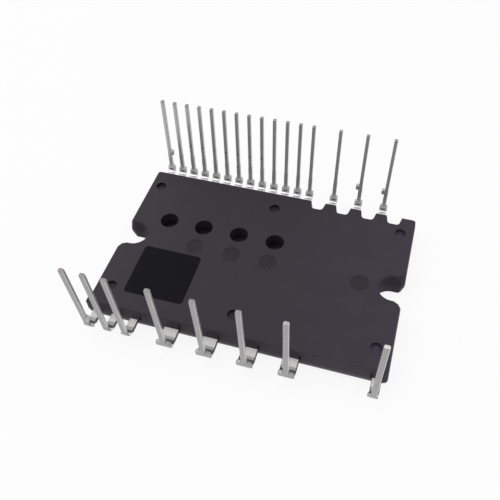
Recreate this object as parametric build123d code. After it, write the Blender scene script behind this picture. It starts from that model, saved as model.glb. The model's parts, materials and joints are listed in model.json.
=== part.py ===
from build123d import *
import math
import os

os.makedirs("parts", exist_ok=True)

# Power module in a moulded dual in-line package, lying on its heat-sink face.
# Origin at the centre of the heat-sink face, +Z up to the lead tips, +X along
# the long side, the control leads on the +Y side and the power leads on -Y.

# Both lead rows run over the same length, each on its own pitch
row_span = 35.56
control_positions = 21
power_positions = 15
control_pitch = row_span / (control_positions - 1)
power_pitch = row_span / (power_positions - 1)
row_start = -row_span / 2

# Package, drafted from a straight belt at the lead plane to both faces
body_height = 3.5
belt_low = 1.6
belt_high = 2.1
end_margin = 1.27
belt_length = row_span + 2 * end_margin
belt_width = 24.6
half_length = belt_length / 2
half_width = belt_width / 2
top_inset_x = 0.15
top_inset_y = 0.26
bottom_inset_x = 0.3
bottom_inset_y = 0.7
corner_radius = 0.4
top_edge_chamfer = 0.1
cut_overrun = 1.5

# Screw notches in the two short sides, narrowest at the belt. Three of their four mouth
# corners have a lip; each is given by its sides in X and Y and how blunt it is.
notch_inset = 1.4
notch_radius = 1.62
notch_draft_top = 13.0
notch_draft_bottom = 11.5
lip_at_belt = 0.35
lip_at_top = 1.0
lip_corners = [(1, 1, 0.5), (1, -1, 0.34), (-1, -1, 0.34)]

# Creepage notches along the control side, one pitch apart from the lands
creepage_numbers = [13, 15, 17, 19]
creepage_width_mouth = 1.66
creepage_width_root = 1.08
creepage_flare = 0.35
creepage_run = 1.0
creepage_depth = 1.34
creepage_draft = 8.0
creepage_root_round = 0.22

# Marks that the mould leaves in the top face, placed from the belt
press_hole_count = 4
press_hole_diameter = 2.5
press_hole_floor_diameter = 2.2
press_hole_depth = 1.5
press_hole_pitch = 5.04
press_hole_first = row_start + 4.0
press_hole_row = 3.25
dimple_diameter = 1.43
dimple_depth = 0.4
dimple_corners = [(-1, 1, 1.65, 3.1), (1, 1, 1.85, 3.1), (-1, -1, 2.05, 3.2), (1, -1, 2.05, 3.2)]
dimple_middles = [(-0.3, 1), (-0.6, -1)]
dimple_middle_inset = 3.1
ejector_diameter = 2.35
ejector_depth = 0.04
ejector_places = [(-8.82, -0.25), (-3.7, -0.25), (1.32, -0.25), (13.42, -0.35)]

# Small grooves in the wall over the edges of the power leads, and the rib where the resin flowed in
groove_width = 0.18
groove_depth = 0.25
groove_height = 0.8
groove_offsets = {2: 0.9, 4: 1.0, 6: 1.0, 8: 1.0, 10: 1.0, 14: -0.68}
gate_reach = 0.08
gate_length = 0.9
gate_inset = 0.15
gate_low = 0.1

# Blank mark field, a thin printed square on the top face
mark_size = (7.9, 7.65)
mark_inset = (7.84, 6.62)
mark_corner = 0.45
mark_thickness = 0.05

# Lead frame
lead_thickness = belt_high - belt_low
lead_inner_radius = 0.4
wide_inner_radius = 0.8
lead_lean = 2.4
tip_chamfer = 0.12
joint_lap = 0.2
finger_width = 0.8
bus_width = 0.7

# Control leads, numbered from the -X end
control_numbers = [0, 1, 2, 3, 4, 5, 6, 7, 8, 9, 10, 11, 12, 14, 16, 18]
control_cut_number = 20
control_row = half_width + 1.9
control_tip = 14.55
control_grip = 1.2
control_foot_width = 1.08
control_pin_width = 0.45
control_neck_width = 0.52
control_foot_top = 3.1
control_shoulder = 0.2
control_stub_height = 5.55
control_stub_size = (0.42, 0.75)
control_stubs = {0: 1, 16: -1, 18: -1}
control_cut_reach = 0.12
finger_end_short = half_width - 3.0
finger_end_long = half_width - 4.9

# Power leads, numbered from the -X end
power_row = half_width + 2.5
power_tip = 14.4
power_grip = 0.5
power_pin_width = 0.7
wide_foot = 2.0
wide_foot_top = 3.0
wide_shoulder = 0.28
narrow_foot = 1.15
narrow_foot_top = 2.4
emitter_numbers = [0, 1, 2]
output_numbers = [4, 6, 8]
supply_number = 10
spare_number = 14
power_stub_height = 4.45
power_stub_size = (0.3, 0.5)
tie_nub = 0.14
tie_nub_turn = (38.0, 58.0)
tie_nub_hands = {0: (-1, 1), 1: (), 2: (-1,), 14: (-1,)}

# Heat path under the die pads
foil_thickness = 0.1
sheet_thickness = 0.2
plate_inset_x = 4.45
plate_inset_front = 3.8
plate_inset_back = 5.3

# Landing arms of the emitter leads, and the downset to the die pads
downset_start = -half_width + 3.3
downset_end = -half_width + 4.15
downset_skew = 0.25
arm_first_gap = 0.35
arm_pitch = 1.0
arm_end_gap = 0.38

# Die pads, set down from the lead plane onto the insulating sheet
pad_gap = 0.3
pad_inset_x = 4.75
pad_front = -half_width + 5.3
pad_back = pad_front + 11.6
pad_neck_width = 1.0
output_pad_width = 4.8
output_bus_ends = [13.0, 9.2, None]

# Chips
solder_thickness = 0.1
chip_thickness = 0.2
transistor_size = 3.4
diode_size = 2.4
transistor_row = pad_front + 6.0
diode_row = pad_front + 2.1
high_side_inset = 2.6
high_side_pitch = 4.2
high_side_count = 3

# Control chips on their own pads at the lead plane
driver_pads = [(-12.8, -6.2, 4), (3.2, 10.4, 14)]
driver_pad_back = half_width - 3.6
driver_pad_front = driver_pad_back - 2.8
driver_reach = 0.6
driver_size = [(4.6, 1.7), (4.6, 1.7)]
driver_thickness = 0.25

# Bond wires
power_wire_diameter = 0.3
power_wire_rise = 0.75
power_wire_shoulder = 0.6
power_wire_sides = 6
leg_wire_offset = -0.5
leg_wire_ends = (0.9, 0.4)
arm_wire_offset = 0.3
arm_wire_start = 0.5
arm_landing_gap = 0.5
output_landing_gap = 0.35
output_landing_row = 0.4
signal_wire_diameter = 0.06
signal_wire_rise = 0.35
signal_wire_drop = 0.1
signal_wire_sides = 4
finger_landing = 0.5
driver_wire_edge = 0.15
driver_wire_end = 0.3
gate_wire_end = 0.6
gate_reach_on_chip = 1.3
gate_wire_rises = (0.15, 0.1, 0.2)
gate_wire_clearance = 0.35
gate_wire_runs = (0.3, 0.9)

# Derived planes
pad_low = foil_thickness + sheet_thickness
pad_high = pad_low + lead_thickness
chip_low = pad_high + solder_thickness
chip_high = chip_low + chip_thickness
driver_high = belt_high + driver_thickness
lead_mid = (belt_low + belt_high) / 2


def block(x0, x1, y0, y1, z0, z1):
    centre = ((x0 + x1) / 2, (y0 + y1) / 2, (z0 + z1) / 2)
    return Pos(*centre) * Box(x1 - x0, y1 - y0, z1 - z0)


def save(shape, name):
    export_step(shape, "parts/" + name + ".step")


# Formed part of a lead, from inside the wall over the bend to the tip.
# side is +1 for the control row and -1 for the power row. The foot is wider than the
# pin up to foot_top, which lies in the bend or above it.
def formed_lead(x, side, grip, row, tip, foot, pin, foot_top, inner_radius,
                shoulder=0.0, rounded=False, neck=None, stub=None, nubs=()):
    lean = math.radians(lead_lean)
    half = lead_thickness / 2
    mid_radius = inner_radius + half
    outer_radius = inner_radius + lead_thickness
    centre_y = row - mid_radius * math.cos(lean)
    centre_z = lead_mid + mid_radius
    full_turn = math.pi / 2 - lean
    inner_y = half_width - grip

    def on_arc(radius, turn):
        return (centre_y + radius * math.sin(turn), centre_z - radius * math.cos(turn))

    def bent(width, first, last, shift=0.0):
        middle = (first + last) / 2
        outline = [
            ThreePointArc(*[on_arc(outer_radius, turn) for turn in (first, middle, last)]),
            Line(on_arc(outer_radius, last), on_arc(inner_radius, last)),
            ThreePointArc(*[on_arc(inner_radius, turn) for turn in (last, middle, first)]),
        ]
        if first == 0:
            outline.append(Line(on_arc(inner_radius, first), (inner_y, lead_mid + half)))
            outline.append(Line((inner_y, lead_mid + half), (inner_y, lead_mid - half)))
            outline.append(Line((inner_y, lead_mid - half), on_arc(outer_radius, first)))
        else:
            outline.append(Line(on_arc(inner_radius, first), on_arc(outer_radius, first)))
        profile = Plane.YZ * make_face(Wire(outline))
        return Pos(shift, 0, 0) * extrude(profile, width / 2, both=True)

    start_z = centre_z - mid_radius * math.sin(lean)
    length = (tip - start_z) / math.cos(lean)
    rise = (foot_top - start_z) / math.cos(lean)
    root = (neck or pin) / 2
    if rise > 0:
        lead = bent(foot, 0, full_turn)
        points = [(-foot / 2, 0), (-foot / 2, rise - shoulder), (-root, rise)]
        if rounded:
            points = [(-foot / 2, 0), (-foot / 2, rise), (-root, rise)]
    else:
        lead = bent(pin, 0, full_turn)
        lead += bent(foot, 0, math.acos((centre_z - foot_top) / mid_radius))
        points = [(-root, 0)]
    if neck:
        step = (control_stub_height - start_z) / math.cos(lean)
        points += [(-root, step), (-pin / 2, step)]
    points += [(-pin / 2, length - tip_chamfer), (-pin / 2 + tip_chamfer, length)]
    points += [(-across, along) for across, along in reversed(points)]
    front = make_face(Polyline(*points, close=True))
    if rounded:
        corners = [v for v in front.vertices() if abs(v.Y - rise) < 1e-6]
        front = fillet(corners, shoulder)
    if stub:
        hand, height, width, tall = stub
        level = (height - start_z) / math.cos(lean)
        reach = pin / 2 + width
        front += Pos(hand * reach / 2, level) * Rectangle(reach, tall)
    plane = Plane(
        origin=(0, row, start_z),
        x_dir=(1, 0, 0),
        z_dir=(0, -math.cos(lean), math.sin(lean)),
    )
    lead += extrude(plane * front, half, both=True)
    for hand in nubs:
        first, last = [math.radians(turn) for turn in tie_nub_turn]
        lead += bent(foot / 2 + tie_nub, first, last, hand * (foot / 2 + tie_nub) / 2)
    if side < 0:
        lead = mirror(lead, Plane.XZ)
    return Pos(x, 0, 0) * lead


# A tube of flat sides along a path that starts straight up.
def wire_tube(path, diameter, sides):
    start = path @ 0
    section = Plane(origin=start, x_dir=(1, 0, 0), z_dir=(0, 0, 1)) * RegularPolygon(diameter / 2, sides)
    return sweep(section, path=path, transition=Transition.RIGHT)


# A thick bond wire: up from one pad, over a peak and down to the other pad.
def power_wire(start, finish):
    top = max(start[2], finish[2]) + power_wire_rise
    rise_a = (start[0], start[1], start[2] + (top - start[2]) * power_wire_shoulder)
    rise_b = (finish[0], finish[1], finish[2] + (top - finish[2]) * power_wire_shoulder)
    crest = ((start[0] + finish[0]) / 2, (start[1] + finish[1]) / 2, top)
    return wire_tube(Polyline(start, rise_a, crest, rise_b, finish), power_wire_diameter, power_wire_sides)


# A thin bond wire: straight up from the chip, then down to the lead.
def signal_wire(start, finish):
    rise = (start[0], start[1], start[2] + signal_wire_rise)
    drop = (finish[0], finish[1], finish[2] + signal_wire_drop)
    return wire_tube(Polyline(start, rise, drop, finish), signal_wire_diameter, signal_wire_sides)


def control_x(number):
    return row_start + number * control_pitch


def power_x(number):
    return row_start + number * power_pitch


# End of the inner finger of a control lead, shorter where a driver pad lies behind it.
def finger_end(x):
    over_pad = any(x0 - driver_reach < x < x1 + driver_reach for x0, x1, owner in driver_pads)
    return finger_end_short if over_pad else finger_end_long


# Control leads with their inner fingers and the two driver pads
control_leads = {}
for number in control_numbers:
    x = control_x(number)
    left = x - finger_width / 2
    right = x + finger_width / 2
    stub = None
    if number in control_stubs:
        stub = (control_stubs[number], control_stub_height, control_stub_size[0], control_stub_size[1])
    lead = formed_lead(x, 1, control_grip, control_row, control_tip, control_foot_width,
                       control_pin_width, control_foot_top, lead_inner_radius, control_shoulder,
                       neck=control_neck_width, stub=stub)
    lead += block(left, right, finger_end(x), half_width - control_grip + joint_lap, belt_low, belt_high)
    for x0, x1, owner in driver_pads:
        if owner == number:
            lead += block(x0, x1, driver_pad_front, driver_pad_back, belt_low, belt_high)
            lead += block(left, right, driver_pad_back - joint_lap, finger_end(x) + joint_lap,
                          belt_low, belt_high)
    control_leads[number] = lead

# The lead beside the +X corner is cut off at the wall
x = control_x(control_cut_number)
cut_lead = block(x - finger_width / 2, x + finger_width / 2, finger_end_long,
                 half_width + control_cut_reach, belt_low, belt_high)

# Power leads that only carry a landing arm for the bond wires
power_leads = {}
arm_start = -half_width + power_grip - joint_lap
arm_rows = [downset_start - arm_first_gap - order * arm_pitch for order in range(len(emitter_numbers))]
arm_end_x = power_x(output_numbers[0]) - wide_foot / 2 - arm_end_gap
for number, row_y in zip(emitter_numbers, arm_rows):
    x = power_x(number)
    stub = None
    if number == emitter_numbers[0]:
        stub = (1, power_stub_height, power_stub_size[0], power_stub_size[1])
    lead = formed_lead(x, -1, power_grip, power_row, power_tip, narrow_foot, power_pin_width, narrow_foot_top,
                       wide_inner_radius, stub=stub, nubs=tie_nub_hands[number])
    left = x - bus_width / 2
    lead += block(left, x + bus_width / 2, arm_start, row_y, belt_low, belt_high)
    lead += block(left, arm_end_x, row_y - bus_width / 2, row_y + bus_width / 2, belt_low, belt_high)
    power_leads[number] = lead

# The spare lead at the +X end
x = power_x(spare_number)
lead = formed_lead(x, -1, power_grip, power_row, power_tip, narrow_foot, power_pin_width, narrow_foot_top,
                   wide_inner_radius, nubs=tie_nub_hands[spare_number])
lead += block(x - finger_width / 2, x + finger_width / 2, arm_start, downset_start, belt_low, belt_high)
power_leads[spare_number] = lead


# Lead with a downset neck that reaches a die pad
def padded_lead(number, pad_x0, pad_x1, neck_x0, bus_end, bus_row):
    x = power_x(number)
    right = x + wide_foot / 2
    lead = formed_lead(x, -1, power_grip, power_row, power_tip, wide_foot, power_pin_width, wide_foot_top,
                       lead_inner_radius, wide_shoulder, rounded=True)
    neck_y = pad_front - pad_gap
    slope = [
        (arm_start, belt_high), (downset_start, belt_high), (downset_end, pad_high),
        (neck_y, pad_high), (neck_y, pad_low), (downset_end - downset_skew, pad_low),
        (downset_start - downset_skew, belt_low), (arm_start, belt_low),
    ]
    side_face = Plane.YZ * make_face(Polyline(*slope, close=True))
    lead += Pos(x, 0, 0) * extrude(side_face, wide_foot / 2, both=True)
    lead += block(neck_x0, right, downset_end, neck_y, pad_low, pad_high)
    join = min(pad_x1, right)
    lead += block(neck_x0, join, neck_y - joint_lap, pad_front + joint_lap, pad_low, pad_high)
    back = pad_back if bus_end is None else bus_row + bus_width / 2
    lead += block(pad_x0, pad_x1, pad_front, back, pad_low, pad_high)
    if bus_end is not None:
        lead += block(pad_x0, bus_end, bus_row - bus_width / 2, bus_row + bus_width / 2, pad_low, pad_high)
    return lead


output_pads = []
for order, number in enumerate(output_numbers):
    x0 = -half_length + pad_inset_x + order * (output_pad_width + pad_gap)
    x1 = x0 + output_pad_width
    bus_row = pad_back + (len(output_numbers) - 1 - order) * (bus_width + pad_gap) - bus_width / 2
    output_pads.append((x0, x1, bus_row))
    power_leads[number] = padded_lead(number, x0, x1, x1 - pad_neck_width, output_bus_ends[order], bus_row)
supply_x0 = output_pads[-1][1] + pad_gap
supply_x1 = half_length - pad_inset_x
supply_neck = power_x(supply_number) - wide_foot / 2
power_leads[supply_number] = padded_lead(supply_number, supply_x0, supply_x1, supply_neck, None, 0)

# Heat path
plate_x = half_length - plate_inset_x
plate_y0 = -half_width + plate_inset_front
plate_y1 = half_width - plate_inset_back
foil = block(-plate_x, plate_x, plate_y0, plate_y1, 0, foil_thickness)
sheet = block(-plate_x, plate_x, plate_y0, plate_y1, foil_thickness, pad_low)

# Chips and their solder
low_side_columns = [(x0 + x1) / 2 for x0, x1, bus_row in output_pads]
high_side_first = supply_x0 + high_side_inset
high_side_columns = [high_side_first + order * high_side_pitch for order in range(high_side_count)]
columns = low_side_columns + high_side_columns
transistors = []
diodes = []
solder = []
for column in columns:
    for size, row, group in ((transistor_size, transistor_row, transistors), (diode_size, diode_row, diodes)):
        half = size / 2
        group.append(block(column - half, column + half, row - half, row + half, chip_low, chip_high))
        solder.append(block(column - half, column + half, row - half, row + half, pad_high, chip_low))
drivers = []
driver_y = (driver_pad_front + driver_pad_back) / 2
for (x0, x1, owner), (long, wide) in zip(driver_pads, driver_size):
    middle_x = (x0 + x1) / 2
    drivers.append(block(middle_x - long / 2, middle_x + long / 2, driver_y - wide / 2, driver_y + wide / 2,
                         belt_high, driver_high))

# Aluminium wires: transistor to diode in every leg, then to the output metal
power_wires = []
for column in columns:
    x = column + leg_wire_offset
    start = (x, transistor_row - leg_wire_ends[0], chip_high)
    power_wires.append(power_wire(start, (x, diode_row + leg_wire_ends[1], chip_high)))
landing_xs = [low_side_columns[0], arm_end_x - arm_landing_gap, arm_end_x - arm_landing_gap]
for column, land_x, land_y in zip(low_side_columns, landing_xs, arm_rows):
    start = (column + arm_wire_offset, diode_row - arm_wire_start, chip_high)
    power_wires.append(power_wire(start, (land_x, land_y, belt_high)))
output_landings = [
    (output_pads[2][1] - output_landing_gap, transistor_row - output_landing_row),
    (high_side_columns[1], output_pads[1][2]),
    (high_side_columns[2], output_pads[0][2]),
]
for column, (land_x, land_y) in zip(high_side_columns, output_landings):
    start = (column, transistor_row + arm_wire_offset, chip_high)
    power_wires.append(power_wire(start, (land_x, land_y, pad_high)))

# Gold wires: control leads to the drivers, drivers to the transistor gates
signal_wires = []
driver_share = len(control_numbers) // 2
driver_leads = [control_numbers[:driver_share], control_numbers[driver_share:]]
gate_columns = [low_side_columns, high_side_columns]
gate_hands = [1, -1]
for (x0, x1, owner), (long, wide), numbers, gates, hand in zip(
        driver_pads, driver_size, driver_leads, gate_columns, gate_hands):
    left = (x0 + x1) / 2 - long / 2
    back_y = driver_y + wide / 2 - driver_wire_edge
    front_y = driver_y - wide / 2 + driver_wire_edge
    for order, number in enumerate(numbers):
        chip_x = left + driver_wire_end + order * (long - 2 * driver_wire_end) / (len(numbers) - 1)
        lead_x = control_x(number)
        landing = (lead_x, finger_end(lead_x) + finger_landing, belt_high)
        signal_wires.append(signal_wire((chip_x, back_y, driver_high), landing))
    for order, column in enumerate(gates):
        chip_x = left + gate_wire_end + order * (long - 2 * gate_wire_end) / (len(gates) - 1)
        gate_x = column + hand * gate_reach_on_chip
        gate_y = transistor_row + gate_reach_on_chip
        edge_y = driver_pad_front - gate_wire_runs[0]
        low_y = edge_y - gate_wire_runs[1]
        slant = (gate_x - chip_x) / (front_y - gate_y)
        over, drop, near = gate_wire_rises
        low_z = body_height - press_hole_depth - gate_wire_clearance
        signal_wires.append(wire_tube(Polyline(
            (chip_x, front_y, driver_high),
            (chip_x, front_y, driver_high + over),
            (chip_x + slant * (front_y - edge_y), edge_y, belt_high + drop),
            (chip_x + slant * (front_y - low_y), low_y, low_z),
            (gate_x, gate_y, chip_high + near),
            (gate_x, gate_y, chip_high),
        ), signal_wire_diameter, signal_wire_sides))


# Rounded plan of the package, drawn in from the belt
def plan(level, inset_x, inset_y):
    shape = RectangleRounded(belt_length - 2 * inset_x, belt_width - 2 * inset_y, corner_radius)
    return Pos(0, 0, level) * shape


# Moulded package, with a small chamfer round the top face
edge_level = body_height - top_edge_chamfer
edge_rise = edge_level - belt_high
edge_share = edge_rise / (body_height - belt_high)
edge_inset_x = top_inset_x * edge_share
edge_inset_y = top_inset_y * edge_share
package = extrude(plan(belt_low, 0, 0), belt_high - belt_low)
package += loft([plan(belt_high, 0, 0), plan(edge_level, edge_inset_x, edge_inset_y)])
package += loft([
    plan(edge_level, edge_inset_x, edge_inset_y),
    plan(body_height, edge_inset_x + top_edge_chamfer, edge_inset_y + top_edge_chamfer),
])
package += loft([plan(0, bottom_inset_x, bottom_inset_y), plan(belt_low, 0, 0)])

# Cuts run a little past both faces, at 45 degrees along the chamfer
edge_cut = top_edge_chamfer + joint_lap
fall_cut = belt_low + joint_lap


def drafted(height, draft):
    return height * math.tan(math.radians(draft))


# Plan of the slot of a screw notch at the +X end, with a round root
def slot_plan(level, radius):
    centre = half_length - notch_inset
    run = notch_inset + cut_overrun
    shape = Pos(centre, 0) * Circle(radius)
    shape += Pos(centre + run / 2, 0) * Rectangle(run, 2 * radius)
    return Pos(0, 0, level) * shape


# Plan of one lip: from the wall of the slot, over a blunt corner, to the end face
def lip_plan(level, hand_x, hand_y, blunt, end_x, radius, size):
    corners = [
        (end_x - size, 0), (end_x - size, radius), (end_x - blunt * size, radius + blunt * size),
        (end_x, radius + size), (end_x + cut_overrun, radius + size), (end_x + cut_overrun, 0),
    ]
    points = [(hand_x * x, hand_y * y) for x, y in corners]
    return Pos(0, 0, level) * make_face(Polyline(*points, close=True))


edge_radius = notch_radius + drafted(edge_rise, notch_draft_top)
slots = [
    extrude(slot_plan(belt_low, notch_radius), belt_high - belt_low),
    extrude(slot_plan(belt_high, notch_radius), edge_rise + edge_cut, taper=-notch_draft_top),
    extrude(slot_plan(edge_level, edge_radius), edge_cut, taper=-45),
    extrude(slot_plan(belt_low, notch_radius), -fall_cut, taper=-notch_draft_bottom),
]
for slot in slots:
    package -= slot
    package -= mirror(slot, Plane.YZ)

# Each lip is given at five levels: end of the package, half width of the slot, size
edge_size = lip_at_belt + (lip_at_top - lip_at_belt) * edge_share
base_radius = notch_radius + drafted(fall_cut, notch_draft_bottom)
lip_levels = [
    (-joint_lap, half_length - bottom_inset_x, base_radius, lip_at_belt),
    (belt_low, half_length, notch_radius, lip_at_belt),
    (belt_high, half_length, notch_radius, lip_at_belt),
    (edge_level, half_length - edge_inset_x, edge_radius, edge_size),
    (edge_level + edge_cut, half_length - edge_inset_x - edge_cut, edge_radius + edge_cut,
     edge_size - (2 - math.sqrt(2)) * edge_cut),
]
for corner in lip_corners:
    plans = [lip_plan(level, *corner, end_x, radius, size) for level, end_x, radius, size in lip_levels]
    for low, high in zip(plans, plans[1:]):
        package -= loft([low, high], ruled=True)

# Creepage notches between the wide-spaced control leads
mouth = creepage_width_mouth / 2
root = creepage_width_root / 2
root_y = half_width - creepage_depth
creepage_out = half_width + creepage_run
creepage = make_face(Polyline(
    (-mouth - creepage_flare, creepage_out), (-mouth, half_width), (-root, root_y),
    (root, root_y), (mouth, half_width), (mouth + creepage_flare, creepage_out), close=True))
creepage = fillet([v for v in creepage.vertices() if abs(v.Y - root_y) < 1e-6], creepage_root_round)
creepage_edge = offset(creepage, drafted(edge_level - belt_low, creepage_draft), kind=Kind.INTERSECTION)
for number in creepage_numbers:
    x = control_x(number)
    tool = Pos(x, 0, belt_low) * creepage
    package -= extrude(tool, body_height + joint_lap - belt_low, taper=-creepage_draft)
    package -= extrude(tool, -fall_cut, taper=-creepage_draft)
    package -= extrude(Pos(x, 0, edge_level) * creepage_edge, edge_cut, taper=-45)

# Marks of the mould in the top face
for order in range(press_hole_count):
    x = press_hole_first + order * press_hole_pitch
    hole = Pos(x, press_hole_row, body_height - press_hole_depth / 2)
    package -= hole * Cone(press_hole_floor_diameter / 2, press_hole_diameter / 2, press_hole_depth)
dimples = [(hand_x * (half_length - inset_x), hand_y * (half_width - inset_y))
           for hand_x, hand_y, inset_x, inset_y in dimple_corners]
dimples += [(x, hand_y * (half_width - dimple_middle_inset)) for x, hand_y in dimple_middles]
for x, y in dimples:
    package -= Pos(x, y, body_height - dimple_depth / 2) * Cylinder(dimple_diameter / 2, dimple_depth)
for x, y in ejector_places:
    package -= Pos(x, y, body_height - ejector_depth / 2) * Cylinder(ejector_diameter / 2, ejector_depth)

# Grooves over the power leads and the rib at the inflow
for number, shift in groove_offsets.items():
    x = power_x(number) + shift
    package -= block(x - groove_width / 2, x + groove_width / 2, -half_width - cut_overrun,
                     -half_width + groove_depth, belt_high, belt_high + groove_height)
gate_y = -half_width + gate_inset
package += block(-half_length - gate_reach, -half_length + corner_radius, gate_y, gate_y + gate_length,
                 belt_low + gate_low, edge_level)

mark_x = -half_length + mark_inset[0]
mark_y = -half_width + mark_inset[1]
mark = Pos(mark_x, mark_y, body_height) * extrude(
    RectangleRounded(mark_size[0], mark_size[1], mark_corner), mark_thickness)

# The resin fills everything that the moulded-in pieces leave free
held = list(control_leads.values()) + [cut_lead] + list(power_leads.values())
held += [foil, sheet] + transistors + diodes + solder + drivers + power_wires + signal_wires
package -= held

save(package, "package")
save(mark, "mark_field")
save(foil, "copper_foil")
save(sheet, "insulating_sheet")
for number, lead in control_leads.items():
    save(lead, "control_lead_%02d" % (number + 1))
save(cut_lead, "control_lead_cut_%02d" % (control_cut_number + 1))
for number, lead in power_leads.items():
    save(lead, "power_lead_%02d" % (number + 1))
legs = ["low_w", "low_v", "low_u", "high_u", "high_v", "high_w"]
for leg, transistor, diode in zip(legs, transistors, diodes):
    save(transistor, "transistor_" + leg)
    save(diode, "diode_" + leg)
save(drivers[0], "driver_low_side")
save(drivers[1], "driver_high_side")
save(Compound(children=solder), "chip_solder")
save(Compound(children=power_wires), "aluminium_wires")
save(Compound(children=signal_wires), "gold_wires")
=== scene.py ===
import json
import math

import bmesh
import bpy
from mathutils import Matrix, Vector


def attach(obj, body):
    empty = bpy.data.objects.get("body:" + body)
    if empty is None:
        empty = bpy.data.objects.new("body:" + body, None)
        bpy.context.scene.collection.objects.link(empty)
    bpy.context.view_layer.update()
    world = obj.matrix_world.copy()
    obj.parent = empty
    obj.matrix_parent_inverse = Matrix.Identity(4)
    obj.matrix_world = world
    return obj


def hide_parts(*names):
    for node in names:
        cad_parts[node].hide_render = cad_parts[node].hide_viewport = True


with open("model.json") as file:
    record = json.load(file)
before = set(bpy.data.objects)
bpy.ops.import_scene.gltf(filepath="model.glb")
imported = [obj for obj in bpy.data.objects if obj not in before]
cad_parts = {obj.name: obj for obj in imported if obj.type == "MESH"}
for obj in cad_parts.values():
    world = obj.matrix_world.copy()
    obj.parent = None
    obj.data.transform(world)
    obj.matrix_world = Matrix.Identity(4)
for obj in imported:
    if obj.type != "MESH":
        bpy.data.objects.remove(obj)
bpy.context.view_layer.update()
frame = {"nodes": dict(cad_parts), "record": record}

MM = 0.001

# Sizes of the part by which finishes and leads are placed, in millimetres
TOP_FACE = 3.5
ROW_START = -17.78
CONTROL_PITCH = 1.778
POWER_PITCH = 2.54

# Camera, in millimetres and unit directions of the part's frame
CAMERA_PLACE = (15.469, -48.209, 67.935)
CAMERA_RIGHT = (0.95719, 0.28772, -0.03163)
CAMERA_UP = (-0.20482, 0.75048, 0.62835)
CAMERA_BACK = (0.20453, -0.59497, 0.77729)
FOCAL_LENGTH = 44.943
SENSOR_WIDTH = 36.0
CLIP_NEAR = 0.002
CLIP_FAR = 20.0

camera_data = bpy.data.cameras.new("photo_camera")
camera_data.lens = FOCAL_LENGTH
camera_data.sensor_width = SENSOR_WIDTH
camera_data.sensor_fit = "HORIZONTAL"
camera_data.clip_start = CLIP_NEAR
camera_data.clip_end = CLIP_FAR
camera = bpy.data.objects.new("photo_camera", camera_data)
bpy.context.scene.collection.objects.link(camera)
rotation = Matrix((CAMERA_RIGHT, CAMERA_UP, CAMERA_BACK)).transposed().to_4x4()
camera.matrix_world = Matrix.Translation(Vector(CAMERA_PLACE) * MM) @ rotation
bpy.context.scene.camera = camera
bpy.context.scene.view_settings.view_transform = "Standard"


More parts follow.
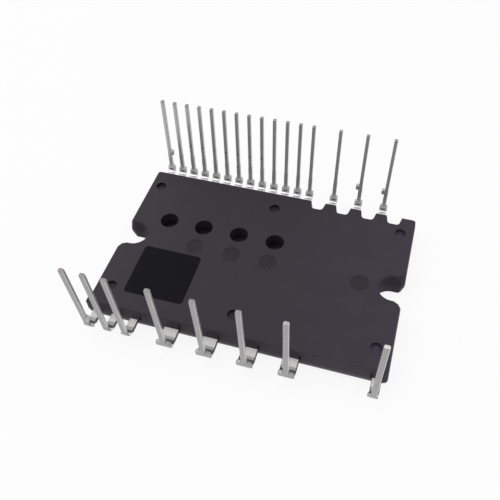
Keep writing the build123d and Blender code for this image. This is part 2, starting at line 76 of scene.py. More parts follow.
# Node trees
class Tree:
    """A material's nodes, with short names for what the finishes here need."""

    def __init__(self, name):
        self.material = bpy.data.materials.new(name)
        self.material.use_nodes = True
        self.nodes = self.material.node_tree.nodes
        self.links = self.material.node_tree.links
        self.shader = self.nodes["Principled BSDF"]

    def add(self, kind, **settings):
        node = self.nodes.new(kind)
        for key, value in settings.items():
            setattr(node, key, value)
        return node

    def feed(self, socket, value):
        """Give an input a number, a colour or another node's output."""
        if isinstance(value, (int, float)):
            socket.default_value = value
        elif isinstance(value, tuple):
            socket.default_value = (*value, 1.0)
        else:
            self.links.new(value, socket)

    def finish(self, **inputs):
        """Feed the shader's inputs, whose names are given with _ for each space."""
        for name, value in inputs.items():
            self.feed(self.shader.inputs[name.replace("_", " ")], value)
        return self.material

    def place(self, scale=(1, 1, 1)):
        """Object coordinates in millimetres, stretched by scale."""
        coordinates = self.add("ShaderNodeTexCoord")
        mapping = self.add("ShaderNodeMapping")
        mapping.inputs["Scale"].default_value = [s / MM for s in scale]
        self.feed(mapping.inputs["Vector"], coordinates.outputs["Object"])
        return mapping.outputs["Vector"]

    def noise(self, scale, detail=3.0, rough=0.5, stretch=(1, 1, 1)):
        node = self.add("ShaderNodeTexNoise")
        node.inputs["Scale"].default_value = scale
        node.inputs["Detail"].default_value = detail
        node.inputs["Roughness"].default_value = rough
        self.feed(node.inputs["Vector"], self.place(stretch))
        return node.outputs["Fac"]

    def ramp(self, factor, stops):
        """A colour for each value of factor, from stops of (value, colour)."""
        node = self.add("ShaderNodeValToRGB")
        elements = node.color_ramp.elements
        while len(elements) < len(stops):
            elements.new(0.5)
        for element, (position, colour) in zip(elements, stops):
            element.position = position
            element.color = (*colour, 1.0)
        self.feed(node.inputs["Fac"], factor)
        return node.outputs["Color"]

    def mottled(self, noise, dark, light):
        """From dark to light as the noise goes through its usual range."""
        return self.ramp(noise, list(zip(NOISE_RANGE, (dark, light))))

    def span(self, value, between, to_low, to_high):
        """From to_low to to_high while value goes between its two limits, and constant outside."""
        node = self.add("ShaderNodeMapRange")
        node.inputs["From Min"].default_value, node.inputs["From Max"].default_value = between
        node.inputs["To Min"].default_value = to_low
        node.inputs["To Max"].default_value = to_high
        self.feed(node.inputs["Value"], value)
        return node.outputs["Result"]

    def rise(self, value, between, top=1.0):
        return self.span(value, between, 0.0, top)

    def fall(self, value, between, top=1.0):
        return self.span(value, between, top, 0.0)

    def split(self, vector):
        node = self.add("ShaderNodeSeparateXYZ")
        self.feed(node.inputs["Vector"], vector)
        return tuple(node.outputs[axis] for axis in "XYZ")

    def axes(self):
        """Object coordinates in millimetres, as three values."""
        return self.split(self.place())

    def facing(self):
        """The surface's own direction, as three values."""
        return self.split(self.add("ShaderNodeNewGeometry").outputs["Normal"])

    def math(self, operation, *values):
        node = self.add("ShaderNodeMath", operation=operation)
        for socket, value in zip(node.inputs, values):
            self.feed(socket, value)
        return node.outputs["Value"]

    def size(self, value):
        """The value without its sign."""
        return self.math("ABSOLUTE", value)

    def away(self, value, middle):
        """How far value is from middle."""
        return self.size(self.math("SUBTRACT", value, middle))

    def without(self, mask):
        return self.math("SUBTRACT", 1.0, mask)

    def above(self, value, limit):
        return self.math("GREATER_THAN", value, limit)

    def under(self, value, limit):
        return self.math("LESS_THAN", value, limit)

    def total(self, a, b):
        return self.math("ADD", a, b)

    def product(self, *factors):
        total = factors[0]
        for factor in factors[1:]:
            total = self.math("MULTIPLY", total, factor)
        return total

    def largest(self, *values):
        total = values[0]
        for value in values[1:]:
            total = self.math("MAXIMUM", total, value)
        return total

    def blend(self, mask, a, b):
        """Colour a where the mask is 0, colour b where it is 1."""
        node = self.add("ShaderNodeMix", data_type="RGBA")
        first, second = (socket for socket in node.inputs if socket.type == "RGBA")
        self.feed(node.inputs["Factor"], mask)
        self.feed(first, a)
        self.feed(second, b)
        return next(socket for socket in node.outputs if socket.type == "RGBA")

    def times(self, colour, factor):
        node = self.add("ShaderNodeVectorMath", operation="MULTIPLY")
        self.feed(node.inputs[0], colour)
        self.feed(node.inputs[1], factor)
        return node.outputs["Vector"]

    def bump(self, height, distance, strength, below=None):
        """Relief of this depth in millimetres, over the relief below."""
        node = self.add("ShaderNodeBump")
        node.inputs["Strength"].default_value = strength
        node.inputs["Distance"].default_value = distance * MM
        self.feed(node.inputs["Height"], height)
        if below is not None:
            self.feed(node.inputs["Normal"], below)
        return node.outputs["Normal"]


def grey(level):
    return (level, level, level)


def shade(level, tint):
    return tuple(level * t for t in tint)


# Noise keeps mostly between these two values, so colours and sheen are spread over them
NOISE_RANGE = (0.3, 0.7)
RESIN_SHEEN_RANGE = (0.35, 0.65)
# How far mottling goes to each side of the resin's level, and sheen to each side of a roughness
RESIN_DARKER = 0.9
RESIN_LIGHTER = 1.12
METAL_SHEEN = (0.8, 1.25)
FILLED_SHEEN = (0.85, 1.15)

# Resin. A pair of numbers is where a mask starts and where it ends, in millimetres. Depths are
# below the top face, and a share is what the resin's colour is multiplied by there. The
# recesses are told apart by depth: ejector circles, round dimples, then the press holes' floors.
# The shares in the dimples and on the press holes' floors are painted shade.
NOTCH_FROM_X = 15.4
NOTCH_TO_X = 18.6
NOTCH_TO_Y = 5.0
NOTCH_DEPTH = (0.1, 0.3)
NOTCH_ROUGHER = 0.22
RECESS_TO_X = 18.3
RECESS_TO_Y = 10.2
RECESS_TO_DEPTH = 1.6
# A colour ramp ends at 1, so depths are scaled to reach 2 mm
RAMP_PER_MM = 0.5
WHOLE = grey(1.0)
DISC_SHARE = (0.38, 0.25, 0.42)
# Painted shade in the dimples and, darker, on the press holes' floors
DIMPLE_PAINTED_SHADE = grey(0.6)
HOLE_FLOOR_PAINTED_SHADE = grey(0.15)
SHARE_AT_DEPTH = [(0.0, WHOLE), (0.016, WHOLE), (0.032, DISC_SHARE), (0.12, DISC_SHARE),
                  (0.32, DIMPLE_PAINTED_SHADE), (0.44, DIMPLE_PAINTED_SHADE), (0.6, WHOLE), (1.44, WHOLE),
                  (1.49, HOLE_FLOOR_PAINTED_SHADE)]
HOLE_FLOOR_DEPTH = (1.4, 1.45)
HOLE_FLOOR_ROUGHER = -0.22
# Dimples beyond this x catch the light, and the gain is what that adds
PALE_DIMPLE_X = (13.8, 14.2)
PALE_DIMPLE_DEPTH = (0.06, 0.1)
PALE_DIMPLE_GAIN = 1.6
# Painted light: the resin's colour is lighter towards both ends, for the brighter light it reflects
# there
LEFT_END_X = (-19.0, -9.0)
LEFT_PAINTED_LIGHT = 1.2
RIGHT_END_X = (2.0, 17.0)
RIGHT_PAINTED_LIGHT = 1.45
# Dark pits on the top face, and painted glints where the share is above 1: place, radius and share
PITS_AND_PAINTED_GLINTS = [(-5.77, 5.28, 0.1, 0.1), (-4.39, 6.75, 0.08, 0.1), (-4.44, 6.12, 0.08, 0.3),
          (-1.1, 6.89, 0.1, 0.1), (1.47, -1.07, 0.12, 3.0), (-8.1, 0.1, 0.1, 2.6),
          (-8.75, -0.95, 0.09, 2.6)]
PIT_AND_GLINT_FADE = 1.5


def recesses(t):
    """The share of the resin's colour in the recesses, with painted shade in the dimples and on the
    press holes' floors, painted light towards both ends and in the right dimples, dark pits and
    painted glints; and what the notch walls and the floors of the press holes add to the roughness."""
    x, y, z = t.axes()
    far_x = t.size(x)
    far_y = t.size(y)
    in_notch = t.product(t.above(far_x, NOTCH_FROM_X), t.under(far_y, NOTCH_TO_Y))
    below = t.math("SUBTRACT", TOP_FACE, z)
    inside = t.product(t.under(far_x, RECESS_TO_X), t.under(far_y, RECESS_TO_Y),
                       t.under(below, RECESS_TO_DEPTH), t.without(in_notch))
    stops = [(depth * RAMP_PER_MM, share) for depth, share in SHARE_AT_DEPTH]
    recess = t.ramp(t.product(inside, below, RAMP_PER_MM), stops)

    # Painted light: lighter towards both ends and in the dimples at the right
    gain = t.span(x, LEFT_END_X, LEFT_PAINTED_LIGHT, 1.0)
    pale = t.product(inside, t.rise(x, PALE_DIMPLE_X),
                     t.rise(below, PALE_DIMPLE_DEPTH, PALE_DIMPLE_GAIN))
    right_gain = t.product(t.span(x, RIGHT_END_X, 1.0, RIGHT_PAINTED_LIGHT), t.total(pale, 1.0))
    # Dark pits, and painted highlights where the share is above 1
    for mark_x, mark_y, radius, share in PITS_AND_PAINTED_GLINTS:
        across = t.math("SUBTRACT", x, mark_x)
        along = t.math("SUBTRACT", y, mark_y)
        squared = t.total(t.product(across, across), t.product(along, along))
        fade = (radius ** 2, (PIT_AND_GLINT_FADE * radius) ** 2)
        gain = t.product(gain, t.span(squared, fade, share, 1.0))

    wall = t.product(t.under(far_x, NOTCH_TO_X), in_notch, t.rise(below, NOTCH_DEPTH))
    rougher = t.total(t.product(wall, NOTCH_ROUGHER),
                      t.product(inside, t.rise(below, HOLE_FLOOR_DEPTH), HOLE_FLOOR_ROUGHER))
    return t.times(t.times(recess, gain), right_gain), rougher


def resin(name, level, tints, specular, roughness):
    """Moulded epoxy: fine eroded-mould grain, faint flow mottling, soft sheen."""
    t = Tree(name)
    mottle = t.noise(scale=0.35, detail=4.0, rough=0.6)
    # The share brings the recesses' painted shade, the painted light, the pits and the painted
    # glints
    share, rougher = recesses(t)
    tones = (shade(level * RESIN_DARKER, tints[0]), shade(level * RESIN_LIGHTER, tints[1]))
    colour = t.times(t.mottled(mottle, *tones), share)
    fine = t.span(t.noise(scale=9.0, rough=0.6), RESIN_SHEEN_RANGE, *roughness)
    grain = t.bump(t.noise(scale=14.0, detail=4.0, rough=0.65), distance=0.012, strength=0.5)
    wave = t.bump(t.noise(scale=0.12, detail=2.0), distance=0.05, strength=0.25, below=grain)
    return t.finish(Base_Color=colour, Roughness=t.total(fine, rougher), Normal=wave,
                    Specular_IOR_Level=specular)


# Tin. A pair is where a mask starts and where it ends. HEIGHT is above the heat-sink face, OUT is
# from the centre plane, and TALL and WIDE are from the middle of a mark, in millimetres. PLACE
# counts the places of a row and ASIDE is how far along the row from the nearest one, in pitches.
# UP and RIGHT are how far the surface faces that way. A name with none of these is a share.
# Power leads: the plates beside the resin
PLATE_OUT = (13.35, 13.5)
PLATE_UP = (0.6, 0.9)
# Power leads: painted shade in the crease at the start of the bend, and on the right sides of the
# feet
WIDE_FEET_TO_X = 9.0
FOOT_SIDE_RIGHT = (0.12, 0.4)
WIDE_CREASE_OUT = (13.79, 13.87)
WIDE_CREASE_SHADE = 0.95
NARROW_CREASE_OUT = (13.95, 14.1)
NARROW_CREASE_SHADE = 0.7
CREASE_END_OUT = (14.45, 14.55)
CREASE_HEIGHT = (2.5, 2.65)
CREASE_UP = (0.2, 0.4)
FOOT_SIDE_SHADE_OUT = (13.95, 14.15)
FOOT_SIDE_SHADE_HEIGHT = (2.2, 2.5)
FOOT_SIDE_SHADE = 0.85
# Power leads: the top of the left wing, painted its own grey for how it is lit, and a painted
# highlight in the wedge at the right of each foot, on the same side faces as the painted shade
WING_OUT = (14.2, 14.3)
WING_HEIGHT = (3.1, 3.2)
WING_ASIDE = (-0.18, -0.13)
WING_UP = (0.1, 0.3)
WING_PAINTED_LIGHT_COLOUR = grey(0.42)
WEDGE_HEIGHT = (2.5, 2.7)
WEDGE_START_OUT = (14.0, 14.15)
WEDGE_END_OUT = (14.6, 14.75)
WEDGE_PAINTED_HIGHLIGHT_COLOUR = grey(0.95)
# Power leads: painted light on the right sides of the pins, and painted light and shade on their
# tips, lighter towards the right of the row
SIDE_HEIGHT = (3.2, 3.6)
SIDE_RIGHT = (0.3, 0.8)
SIDE_PAINTED_LIGHT_COLOUR = grey(0.6)
TIP_HEIGHT = (14.15, 14.3)
TIP_UP = (0.3, 0.8)
TIP_X = (2.0, 18.0)
TIP_PAINTED_LIGHT_COLOURS = [(0.0, (0.29, 0.27, 0.26)), (0.35, (0.48, 0.465, 0.45)), (1.0, (0.72, 0.71, 0.7))]
# Control leads: their inner faces, the matte feet, and the bright strip beside the resin, which is
# polished and has a painted highlight in its colour
INNER_OUT = (14.05, 14.15)
FOOT_START_HEIGHT = (2.18, 2.32)
FOOT_END_HEIGHT = (2.9, 3.3)
FOOT_MATTE = 0.6
STRIP_HEIGHT = (2.18, 2.26)
STRIP_MATTE_OUT = (13.45, 13.55)
# Control leads: painted shade in the bend of the foot, a dark line across the strip, the darker tip
# and the gauge marks
BEND_SHADE_HEIGHT = 2.5
BEND_SHADE_TALL = (0.09, 0.16)
BEND_SHADE_ASIDE = (0.12, 0.18)
BEND_SHADE = 0.9
DARK_LINE_OUT = 13.62
DARK_LINE_WIDE = (0.05, 0.1)
DARK_LINE_HEIGHT = (2.2, 2.3)
DARK_LINE = 0.45
END_HEIGHT = (14.35, 14.45)
END = 0.4
GAUGE_HEIGHT = 7.6
GAUGE_TALL = (0.08, 0.15)
GAUGE_ASIDE = (0.04, 0.1)
GAUGE_FROM_PLACE = 1.5
GAUGE_TO_PLACE = 8.5
GAUGE_TO_OUT = 14.3
GAUGE = 0.85
# Colours and sheen
# The control leads' colour is painted lighter by this, for how their row is lit
CONTROL_PAINTED_LIGHT = 1.42
DRIFT = [(0.25, (0.318, 0.314, 0.318)), (0.75, (0.36, 0.356, 0.36))]
MATTE_COLOUR = (0.74, 0.725, 0.715)
POLISHED_HIGHLIGHT_COLOUR = grey(0.9)
DARK_COLOUR = grey(0.05)
PLATED_METAL = 0.5
MATTE_METAL = 0.1
POLISHED_METAL = 0.45
MATTE_ROUGHER = 0.3
SATIN = (0.22, 0.3)


def tin(name):
    """Tin plate: satin, with slight colour drift, matte beside the resin, with painted shade in the
    crease of each power lead's bend and on the right sides of its foot. The feet's left wings and
    wedges, the pins' right sides and the tips have painted light. The control leads are painted
    lighter, with a polished strip beside the resin that has a painted highlight, painted shade in
    the bend of the foot, a dark line across the strip, a darker tip and small gauge marks."""
    t = Tree(name)
    x, y, z = t.axes()
    right, _, up = t.facing()
    out = t.size(y)
    control = t.above(y, 0)
    power = t.without(control)
    wide = t.under(t.size(x), WIDE_FEET_TO_X)
    along_row = t.total(x, -ROW_START)
    control_place = t.math("DIVIDE", along_row, CONTROL_PITCH)
    beside = t.away(control_place, t.math("ROUND", control_place))
    power_place = t.math("DIVIDE", along_row, POWER_PITCH)
    aside = t.math("SUBTRACT", power_place, t.math("ROUND", power_place))

    inner = t.fall(out, INNER_OUT)
    plate = t.product(power, t.fall(out, PLATE_OUT), t.rise(up, PLATE_UP))
    foot = t.product(control, inner, t.rise(z, FOOT_START_HEIGHT, FOOT_MATTE),
                     t.fall(z, FOOT_END_HEIGHT))
    # The strip beside the resin: a polished sheen, with a painted highlight in its colour
    polish_and_highlight = t.product(control, inner, t.fall(z, STRIP_HEIGHT))
    matte = t.largest(plate, foot, t.product(polish_and_highlight, t.fall(out, STRIP_MATTE_OUT)))

    # Painted shade in the crease at the start of each power lead's bend
    crease_wide = t.product(wide, t.rise(out, WIDE_CREASE_OUT, WIDE_CREASE_SHADE))
    crease_narrow = t.product(t.without(wide), t.rise(out, NARROW_CREASE_OUT, NARROW_CREASE_SHADE))
    crease = t.product(power, t.total(crease_wide, crease_narrow), t.fall(out, CREASE_END_OUT),
                       t.fall(z, CREASE_HEIGHT), t.rise(up, CREASE_UP))
    # Painted shade on the right sides of the power leads' feet
    painted_foot_side_shade = t.product(power, t.rise(right, FOOT_SIDE_RIGHT, FOOT_SIDE_SHADE), t.fall(out, FOOT_SIDE_SHADE_OUT),
                        t.fall(z, FOOT_SIDE_SHADE_HEIGHT))
    # Painted shade in the bend of each control lead's foot
    painted_bend_shade = t.product(control, t.fall(t.away(z, BEND_SHADE_HEIGHT), BEND_SHADE_TALL, BEND_SHADE),
                       t.fall(beside, BEND_SHADE_ASIDE), inner)
    # A dark line across the strip
    dark_line = t.product(control, t.fall(t.away(out, DARK_LINE_OUT), DARK_LINE_WIDE, DARK_LINE),
                      t.fall(z, DARK_LINE_HEIGHT))
    end = t.product(control, t.rise(z, END_HEIGHT, END))
    gauge = t.product(control, t.fall(beside, GAUGE_ASIDE, GAUGE),
                      t.above(control_place, GAUGE_FROM_PLACE),
                      t.fall(t.away(z, GAUGE_HEIGHT), GAUGE_TALL),
                      t.under(control_place, GAUGE_TO_PLACE), t.under(out, GAUGE_TO_OUT))
    # Painted shade in creases, bends and on the feet's sides, with the dark line, tips and gauge
    # marks
    dark = t.largest(crease, painted_foot_side_shade, painted_bend_shade, dark_line, end, gauge)

    # Painted light: the pins' right sides are lighter, for how they are lit
    side = t.product(power, t.rise(z, SIDE_HEIGHT), t.rise(right, SIDE_RIGHT))
    # Painted light: the top of each foot's left wing gets a grey of its own, for how it is lit
    left_wing = t.product(power, t.rise(out, WING_OUT), t.fall(z, WING_HEIGHT),
                          t.fall(aside, WING_ASIDE), t.rise(up, WING_UP))
    # Painted highlight in the wedge at the right of each foot
    wedge = t.product(power, t.fall(z, WEDGE_HEIGHT), t.rise(out, WEDGE_START_OUT),
                      t.rise(right, FOOT_SIDE_RIGHT), t.fall(out, WEDGE_END_OUT))
    # Painted light and shade on the tips, lighter towards the right of the row
    tip = t.product(power, t.rise(z, TIP_HEIGHT), t.rise(up, TIP_UP))
    # Painted light: the control leads are lighter all over
    control_painted_light = t.span(control, (0.0, 1.0), 1.0, CONTROL_PAINTED_LIGHT)
    colour = t.times(t.ramp(t.noise(scale=0.5, rough=0.55), DRIFT), control_painted_light)
    for mask, toned in ((matte, MATTE_COLOUR), (polish_and_highlight, POLISHED_HIGHLIGHT_COLOUR), (side, SIDE_PAINTED_LIGHT_COLOUR),
                        (left_wing, WING_PAINTED_LIGHT_COLOUR), (wedge, WEDGE_PAINTED_HIGHLIGHT_COLOUR),
                        (tip, t.ramp(t.rise(x, TIP_X), TIP_PAINTED_LIGHT_COLOURS)), (dark, DARK_COLOUR)):
        colour = t.blend(mask, colour, toned)

    metal = t.total(t.span(matte, (0.0, 1.0), PLATED_METAL, MATTE_METAL),
                    t.product(polish_and_highlight, POLISHED_METAL))
    satin = t.span(t.noise(scale=6.0, rough=0.6), NOISE_RANGE, *SATIN)
    grain = t.bump(t.noise(scale=5.0, rough=0.6), distance=0.0012, strength=0.5)
    return t.finish(Base_Color=colour, Metallic=metal, Normal=grain,
                    Roughness=t.total(satin, t.product(matte, MATTE_ROUGHER)))


def plain_metal(name, dark, light, rough):
    """Bare metal, drawn or rolled along one way."""
    t = Tree(name)
    colour = t.mottled(t.noise(scale=1.2, rough=0.6, stretch=(1, 6, 1)), dark, light)
    grain = t.bump(t.noise(scale=7.0, rough=0.6, stretch=(1, 8, 1)), distance=0.004, strength=0.5)
    sheen = [rough * share for share in METAL_SHEEN]
    return t.finish(Base_Color=colour, Metallic=1.0, Normal=grain,
                    Roughness=t.span(t.noise(scale=8.0), NOISE_RANGE, *sheen))


def filled(name, dark, light, rough):
    """A filled resin sheet, or silicon."""
    t = Tree(name)
    colour = t.mottled(t.noise(scale=2.5, detail=4.0, rough=0.6), dark, light)
    grain = t.bump(t.noise(scale=12.0), distance=0.006, strength=0.4)
    sheen = [rough * share for share in FILLED_SHEEN]
    return t.finish(Base_Color=colour, Normal=grain,
                    Roughness=t.span(t.noise(scale=9.0), NOISE_RANGE, *sheen))


FINISHES = {
    "resin": resin("moulded_resin", level=0.0145, tints=((1.15, 0.8, 1.5), (1.1, 0.88, 1.35)),
                   specular=0.38, roughness=(0.5, 0.62)),
    "mark": resin("printed_field", level=0.0038, tints=((1.0, 1.0, 1.7), (1.0, 1.0, 1.6)),
                  specular=0.1, roughness=(0.62, 0.75)),
    "tinned_lead": tin("tin_plate"),
    "copper": plain_metal("rolled_copper", (0.62, 0.31, 0.2), (0.78, 0.45, 0.32), 0.3),
    "solder": plain_metal("solder", (0.5, 0.5, 0.52), (0.62, 0.62, 0.64), 0.35),
    "aluminium_wire": plain_metal("aluminium_wire", (0.74, 0.74, 0.76), (0.84, 0.84, 0.85), 0.3),
    "gold_wire": plain_metal("gold_wire", (0.78, 0.55, 0.2), (0.88, 0.66, 0.3), 0.25),
    "sheet": filled("filled_sheet", (0.66, 0.65, 0.6), (0.76, 0.75, 0.7), 0.6),
    "silicon": filled("silicon", (0.13, 0.14, 0.17), (0.2, 0.21, 0.25), 0.25),
}

slots = {part["node"]: part["material_slot"] for part in frame["record"]["subparts"]}
for node, obj in frame["nodes"].items():
    obj.data.materials.clear()
    obj.data.materials.append(FINISHES[slots[node]])


# Leads with rounded edges: each is stamped flat, then formed, as the real one is.
# Sizes are in millimetres; along runs up the strip from the start of the bend. SEAM is how far
# from the centre plane, inside the resin, the CAD's own lead goes on; LEAD_MID is the height of
# the flat lead's middle; LEAN is how far off upright a formed lead stands.
SEAM = 11.9
SEAM_LAP = 0.05
THICKNESS = 0.5
LEAD_MID = 1.85
LEAN = math.radians(2.4)
BEND_STEPS = 12
ROUND_STEPS = 4
CORNER_STEPS = 5
MITRE_LIMIT = 0.2
SHARP_ANGLE = math.radians(40)
# How near points count as one: in the flat strip's millimetres, and in the CAD mesh's metres
NEAR_ON_STRIP = 1e-6
NEAR_IN_CAD = 1e-7
NEAR_SEAM = 1e-8
NUB_CORNER = 0.06
NUB_THICKNESS = 0.42
NUB_EDGE = 0.05


class Strip:
    """Where a lead runs: its row, the radius of its bend, and the way from flat to formed."""

    def __init__(self, x, side, row, inner_radius):
        self.x = x
        self.side = side
        self.radius = inner_radius + THICKNESS / 2
        self.bend_y = row - self.radius * math.cos(LEAN)
        self.bend_z = LEAD_MID + self.radius
        self.bend_length = self.radius * (math.pi / 2 - LEAN)
        self.base_z = self.bend_z - self.radius * math.sin(LEAN)
        self.start = SEAM - SEAM_LAP - self.bend_y

    def along(self, height):
        """How far up the strip its middle reaches this height."""
        if height >= self.base_z:
            return self.bend_length + (height - self.base_z) / math.cos(LEAN)
        return self.radius * math.acos((self.bend_z - height) / self.radius)

    def turned(self, degrees):
        """How far up the strip the bend has turned by this angle."""
        return self.radius * math.radians(degrees)

    def form(self, point):
        """Where a point of the flat strip comes to be."""
        across, along, out = point
        if along < 0:
            y, z = self.bend_y + along, LEAD_MID - out
        else:
            angle = -math.pi / 2 + min(along, self.bend_length) / self.radius
            past = max(0.0, along - self.bend_length)
            y = self.bend_y + (self.radius + out) * math.cos(angle) + past * math.sin(LEAN)
            z = self.bend_z + (self.radius + out) * math.sin(angle) + past * math.cos(LEAN)
        return Vector((self.x + across, self.side * y, z)) * MM


def rounded(corners):
    """Points round a closed outline whose corners are (x, y, radius)."""
    points = []
    count = len(corners)
    for i, (x, y, radius) in enumerate(corners):
        here = Vector((x, y))
        before = (Vector(corners[i - 1][:2]) - here).normalized()
        after = (Vector(corners[(i + 1) % count][:2]) - here).normalized()
        if radius <= 0:
            points.append(here)
            continue
        half = before.angle(after) / 2
        centre = here + (before + after).normalized() * (radius / math.sin(half))
        reach = radius / math.tan(half)
        first = here + before * reach - centre
        last = here + after * reach - centre
        sweep = first.angle_signed(last)
        for step in range(CORNER_STEPS + 1):
            turn = Matrix.Rotation(-sweep * step / CORNER_STEPS, 2)
            points.append(centre + turn @ first)
    return points


def inset(outline, distance):
    """The outline moved inwards by distance, mitred."""
    moved = []
    count = len(outline)
    for i, here in enumerate(outline):
        before = (here - outline[i - 1]).normalized()
        after = (outline[(i + 1) % count] - here).normalized()
        first = Vector((-before.y, before.x))
        second = Vector((-after.y, after.x))
        mitre = distance / max(1.0 + first.dot(second), MITRE_LIMIT)
        moved.append(here + (first + second) * mitre)
    return moved


def stamp(mesh, outline, thickness, edge):
    """A flat slab of this outline, counter-clockwise, with its edges rounded."""
    rings = []
    for level, first in ((-1, -90), (1, 0)):
        for step in range(ROUND_STEPS + 1):
            angle = math.radians(first + 90 * step / ROUND_STEPS)
            height = level * (thickness / 2 - edge) + edge * math.sin(angle)
            ring = inset(outline, edge * (1 - math.cos(angle)))
            rings.append([mesh.verts.new((p.x, p.y, height)) for p in ring])
    count = len(outline)
    for low, high in zip(rings, rings[1:]):
        for i in range(count):
            j = (i + 1) % count
            mesh.faces.new((low[i], low[j], high[j], high[i]))
    mesh.faces.new(rings[-1])
    mesh.faces.new(rings[0][::-1])


def everything(mesh):
    return list(mesh.verts) + list(mesh.edges) + list(mesh.faces)


def add_inner_part(mesh, node, side):
    """The CAD node's own part inside the resin, cut off and closed at the seam."""
    inner = bmesh.new()
    inner.from_mesh(frame["nodes"][node].data)
    bmesh.ops.remove_doubles(inner, verts=inner.verts, dist=NEAR_IN_CAD)
    cut = bmesh.ops.bisect_plane(inner, geom=everything(inner), plane_co=(0, side * SEAM * MM, 0),
                                 plane_no=(0, side, 0), dist=NEAR_SEAM, clear_outer=True)
    rim = [e for e in cut["geom_cut"] if isinstance(e, bmesh.types.BMEdge)]
    bmesh.ops.contextual_create(inner, geom=rim)
    held = bpy.data.meshes.new("inner")
    inner.to_mesh(held)
    inner.free()
    mesh.from_mesh(held)
    bpy.data.meshes.remove(held)


def dressed_lead(node, strip, outline, edge, nubs=()):
    """The lead of this outline, formed, with the CAD node's own part inside the resin. A nub is
    (low, high, left, right) on the flat strip."""
    mesh = bmesh.new()
    stamp(mesh, rounded(outline), THICKNESS, edge)
    for low, high, left, right in nubs:
        corners = [(left, low), (right, low), (right, high), (left, high)]
        stamp(mesh, rounded([(x, y, NUB_CORNER) for x, y in corners]), NUB_THICKNESS, NUB_EDGE)
    for step in range(BEND_STEPS + 1):
        place = (0, strip.bend_length * step / BEND_STEPS, 0)
        bmesh.ops.bisect_plane(mesh, geom=everything(mesh), plane_co=place, plane_no=(0, 1, 0),
                               dist=NEAR_ON_STRIP)
    for vertex in mesh.verts:
        vertex.co = strip.form(vertex.co)
    bmesh.ops.recalc_face_normals(mesh, faces=mesh.faces)
    add_inner_part(mesh, node, strip.side)

    data = bpy.data.meshes.new(node + "_plated")
    mesh.to_mesh(data)
    mesh.free()
    data.shade_smooth()
    data.set_sharp_from_angle(angle=SHARP_ANGLE)
    data.materials.append(FINISHES["tinned_lead"])
    piece = bpy.data.objects.new(node + "_plated", data)
    bpy.context.scene.collection.objects.link(piece)
    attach(piece, "root")
    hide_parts(node)
    weighted = piece.modifiers.new("flat_faces", "WEIGHTED_NORMAL")
    weighted.keep_sharp = True


# Control leads: half widths of foot, neck, stub and pin, heights, and the radii of the corners.
# CONTROL_STUBS says on which hand of which lead the stub of the cut tie bar is.
CONTROL_NUMBERS = (0, 1, 2, 3, 4, 5, 6, 7, 8, 9, 10, 11, 12, 14, 16, 18)
CONTROL_ROW = 14.2
CONTROL_BEND = 0.4
CONTROL_TIP = 14.55
CONTROL_TIP_CORNER = 0.07
CONTROL_EDGE = 0.06
CONTROL_FOOT = 0.54
CONTROL_FOOT_TOP = 3.1
CONTROL_SHOULDER = 0.2
CONTROL_SHOULDER_CORNER = 0.15
CONTROL_NECK = 0.26
CONTROL_NECK_CORNER = 0.12
CONTROL_NECK_TAPER = 0.06
CONTROL_PIN = 0.225
CONTROL_STUBS = {0: 1, 16: -1, 18: -1}
CONTROL_STUB = 0.645
CONTROL_STUB_HEIGHT = 5.55
CONTROL_STUB_HALF = 0.375
CONTROL_STUB_CORNER = 0.12
STUB_ROOT_CORNER = 0.03

for number in CONTROL_NUMBERS:
    strip = Strip(ROW_START + number * CONTROL_PITCH, 1, CONTROL_ROW, CONTROL_BEND)
    rise = strip.along(CONTROL_FOOT_TOP)
    stub = strip.along(CONTROL_STUB_HEIGHT)
    sides = {}
    for hand in (1, -1):
        side = [(CONTROL_FOOT, strip.start, 0),
                (CONTROL_FOOT, rise - CONTROL_SHOULDER, CONTROL_SHOULDER_CORNER),
                (CONTROL_NECK, rise, CONTROL_NECK_CORNER)]
        if CONTROL_STUBS.get(number) == hand:
            side += [(CONTROL_NECK, stub - CONTROL_STUB_HALF, STUB_ROOT_CORNER),
                     (CONTROL_STUB, stub - CONTROL_STUB_HALF, CONTROL_STUB_CORNER),
                     (CONTROL_STUB, stub + CONTROL_STUB_HALF, CONTROL_STUB_CORNER),
                     (CONTROL_PIN, stub + CONTROL_STUB_HALF, STUB_ROOT_CORNER)]
        else:
            side += [(CONTROL_NECK, stub, 0), (CONTROL_PIN, stub + CONTROL_NECK_TAPER, 0)]
        side += [(CONTROL_PIN, strip.along(CONTROL_TIP), CONTROL_TIP_CORNER)]
        sides[hand] = [(hand * x, y, r) for x, y, r in side]
    name = "control_lead_%02d" % (number + 1)
    dressed_lead(name, strip, sides[1] + sides[-1][::-1], CONTROL_EDGE)

# Power leads: wide feet with round shoulders, narrow ones that end within the bend
POWER_NUMBERS = (0, 1, 2, 4, 6, 8, 10, 14)
WIDE_NUMBERS = (4, 6, 8, 10)
POWER_ROW = 14.8
POWER_TIP = 14.4
POWER_TIP_CORNER = 0.21
POWER_EDGE = 0.16
POWER_PIN = 0.35
WIDE_BEND = 0.4
WIDE_FOOT = 1.0
WIDE_FOOT_TOP = 3.0
WIDE_CORNERS = (0.3, 0.26)
NARROW_BEND = 0.8
NARROW_FOOT = 0.575
NARROW_FOOT_TOP = 2.4
NARROW_CORNERS = (0.215, 0)
POWER_STUB_NUMBER = 0
POWER_STUB = 0.65
POWER_STUB_HEIGHT = 4.45
POWER_STUB_HALF = 0.25
POWER_STUB_CORNER = 0.21
# Nubs of the cut tie bars, at the bend: their hands, their turns in degrees and their reach
NUB_HANDS = {0: (-1, 1), 2: (-1,), 14: (-1,)}
NUB_TURNS = (38, 58)
NUB_FROM = 0.45
NUB_TO = 0.715

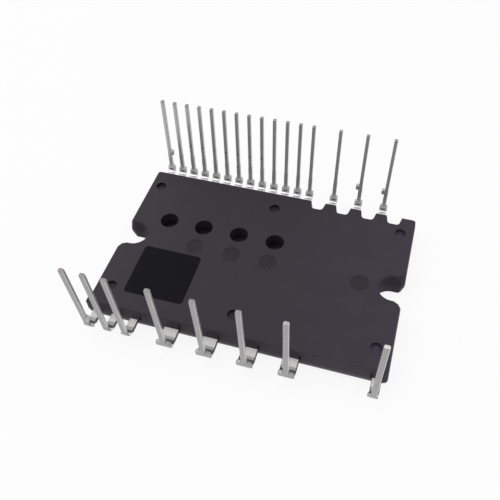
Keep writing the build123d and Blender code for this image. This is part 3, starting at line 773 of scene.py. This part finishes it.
for number in POWER_NUMBERS:
    if number in WIDE_NUMBERS:
        bend, foot, foot_top, corners = WIDE_BEND, WIDE_FOOT, WIDE_FOOT_TOP, WIDE_CORNERS
    else:
        bend, foot, foot_top, corners = NARROW_BEND, NARROW_FOOT, NARROW_FOOT_TOP, NARROW_CORNERS
    strip = Strip(ROW_START + number * POWER_PITCH, -1, POWER_ROW, bend)
    rise = strip.along(foot_top)
    tip = strip.along(POWER_TIP)
    side = [(foot, strip.start, 0), (foot, rise, corners[0]), (POWER_PIN, rise, corners[1])]
    right = list(side)
    if number == POWER_STUB_NUMBER:
        middle = strip.along(POWER_STUB_HEIGHT)
        right += [(POWER_PIN, middle - POWER_STUB_HALF, STUB_ROOT_CORNER),
                  (POWER_STUB, middle - POWER_STUB_HALF, POWER_STUB_CORNER),
                  (POWER_STUB, middle + POWER_STUB_HALF, POWER_STUB_CORNER),
                  (POWER_PIN, middle + POWER_STUB_HALF, STUB_ROOT_CORNER)]
    tips = [(POWER_PIN, tip, POWER_TIP_CORNER), (-POWER_PIN, tip, POWER_TIP_CORNER)]
    outline = right + tips + [(-x, y, r) for x, y, r in reversed(side)]
    low, high = (strip.turned(degrees) for degrees in NUB_TURNS)
    nubs = [(low, high, *sorted((hand * NUB_FROM, hand * NUB_TO)))
            for hand in NUB_HANDS.get(number, ())]
    dressed_lead("power_lead_%02d" % (number + 1), strip, outline, POWER_EDGE, nubs)


# Stage. The floor is white to the rays that seen_white names, but for a share that shows its shadow.
WHITE_SHARE = 0.88
FLOOR_PAINT = (0.9, 0.9, 0.9, 1)
FLOOR_ROUGHNESS = 0.9
FLOOR_REACH = 2.0
FLOOR_DROP = 0.02
WORLD_LIGHT = (0.8, 0.8, 0.8, 1)
WHITE = (1, 1, 1, 1)


def seen_white(tree):
    """1 for the rays that should see the plain white background, 0 for the rest."""
    path = tree.nodes.new("ShaderNodeLightPath")
    total = path.outputs["Is Camera Ray"]
    for ray in ("Is Glossy Ray", "Is Transmission Ray"):
        larger = tree.nodes.new("ShaderNodeMath")
        larger.operation = "MAXIMUM"
        tree.links.new(total, larger.inputs[0])
        tree.links.new(path.outputs[ray], larger.inputs[1])
        total = larger.outputs["Value"]
    return total


def mixed(tree, factor, plain, white, output):
    """Show plain where the factor is 0 and white where it is 1."""
    mix = tree.nodes.new("ShaderNodeMixShader")
    tree.links.new(factor, mix.inputs["Fac"])
    tree.links.new(plain, mix.inputs[1])
    tree.links.new(white, mix.inputs[2])
    tree.links.new(mix.outputs["Shader"], tree.nodes[output].inputs["Surface"])


floor_material = bpy.data.materials.new("studio_floor")
floor_material.use_nodes = True
tree = floor_material.node_tree
paint = tree.nodes["Principled BSDF"]
paint.inputs["Base Color"].default_value = FLOOR_PAINT
paint.inputs["Roughness"].default_value = FLOOR_ROUGHNESS
paint.inputs["Specular IOR Level"].default_value = 0.0
glow = tree.nodes.new("ShaderNodeEmission")
share = tree.nodes.new("ShaderNodeMath")
share.operation = "MULTIPLY"
share.inputs[1].default_value = WHITE_SHARE
tree.links.new(seen_white(tree), share.inputs[0])
mixed(tree, share.outputs["Value"], paint.outputs["BSDF"], glow.outputs["Emission"],
      "Material Output")

corners = [(-FLOOR_REACH, -FLOOR_REACH, 0), (FLOOR_REACH, -FLOOR_REACH, 0),
           (FLOOR_REACH, FLOOR_REACH, 0), (-FLOOR_REACH, FLOOR_REACH, 0)]
floor_mesh = bpy.data.meshes.new("studio_floor")
floor_mesh.from_pydata(corners, [], [(0, 1, 2, 3)])
floor_mesh.materials.append(floor_material)
floor_object = bpy.data.objects.new("studio_floor", floor_mesh)
floor_object.location.z = -FLOOR_DROP * MM
bpy.context.scene.collection.objects.link(floor_object)

world = bpy.data.worlds.new("studio")
bpy.context.scene.world = world
world.use_nodes = True
tree = world.node_tree
soft = tree.nodes["Background"]
soft.inputs["Color"].default_value = WORLD_LIGHT
white = tree.nodes.new("ShaderNodeBackground")
white.inputs["Color"].default_value = WHITE
mixed(tree, seen_white(tree), soft.outputs["Background"], white.outputs["Background"],
      "World Output")


def softbox(name, place, target, size, power):
    data = bpy.data.lights.new(name, "AREA")
    data.shape = "RECTANGLE"
    data.size, data.size_y = size
    data.energy = power
    lamp = bpy.data.objects.new(name, data)
    direction = Vector(target) - Vector(place)
    turned = direction.to_track_quat("-Z", "Y").to_matrix().to_4x4()
    lamp.matrix_world = Matrix.Translation(place) @ turned
    bpy.context.scene.collection.objects.link(lamp)


softbox("key_softbox", place=(-0.25, -0.05, 0.4), target=(0, 0, 0), size=(0.4, 0.4), power=0.5)
